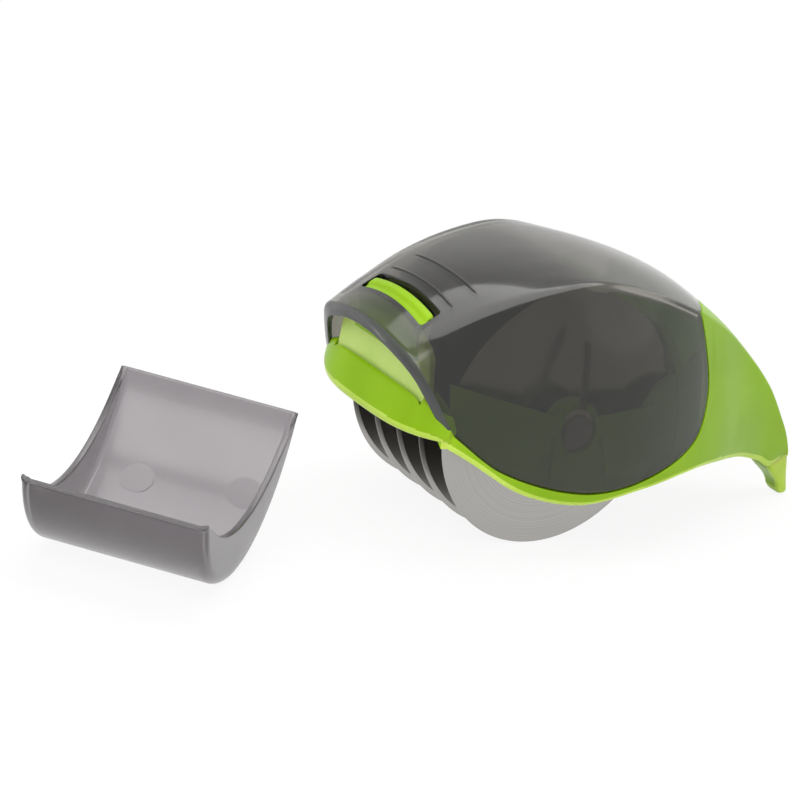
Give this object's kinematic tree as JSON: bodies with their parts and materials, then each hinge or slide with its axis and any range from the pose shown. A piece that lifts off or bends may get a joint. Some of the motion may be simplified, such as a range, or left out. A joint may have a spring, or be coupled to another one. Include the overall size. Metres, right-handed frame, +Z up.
{
  "type": "rolling herb cutter",
  "caption": "Palm-held rolling herb cutter with round blades on one axle, a smoked lift-off cover over a green frame with a tail, a press latch, and a separate clip-on blade guard.",
  "frame": {"origin": "on the table, straight below the middle of the axle", "axes": "+X from the front lip to the tail, +Y along the axle to the side away from the picture's camera, +Z up from the table"},
  "size_m": [0.2355, 0.0824, 0.0681],
  "materials": {
    "smoked_cover": "polished smoked clear moulding",
    "green_frame": "semi-gloss lime green moulding",
    "green_latch": "semi-gloss lime green moulding",
    "smoked_guard": "smoked clear moulding, lightly frosted inside",
    "blade_steel": "ground stainless steel with a bright bevelled edge",
    "axle_steel": "turned stainless steel",
    "spacer_plastic": "dark moulding",
    "bush_plastic": "plain bearing plastic"
  },
  "bodies": {
    "base": {"base_frame": "green_frame", "bush_near": "bush_plastic", "bush_far": "bush_plastic"},
    "cover": {"dome_cover": "smoked_cover"},
    "latch": {"release_latch": "green_latch"},
    "rotor": {"blade_1": "blade_steel", "blade_2": "blade_steel", "blade_3": "blade_steel", "blade_4": "blade_steel", "blade_5": "blade_steel", "spacer_1": "spacer_plastic", "spacer_2": "spacer_plastic", "spacer_3": "spacer_plastic", "spacer_4": "spacer_plastic", "axle": "axle_steel", "collar_near": "spacer_plastic", "collar_far": "spacer_plastic", "hub_cap_near": "spacer_plastic", "hub_cap_far": "spacer_plastic"},
    "guard": {"blade_guard": "smoked_guard"}
  },
  "joints": [
    {"name": "rotor_spin", "type": "hinge", "parent": "base", "child": "rotor", "pos_m": [0, 0, 0.032], "axis": [0, 1, 0], "continuous": true},
    {"name": "cover_lift", "type": "slide", "parent": "base", "child": "cover", "axis": [-0.5736, 0, 0.8192], "range_m": [0, 0.06]},
    {"name": "latch_press", "type": "hinge", "parent": "base", "child": "latch", "pos_m": [-0.038, 0, 0.0373], "axis": [0, 1, 0], "range_deg": [0, 4], "stiffness_Nm_per_rad": 0.5, "springref_deg": -2.86},
    {"name": "guard_lift", "type": "slide", "parent": "base", "child": "guard", "axis": [0, 0, 1], "range_m": [0, 0.03]}
  ]
}
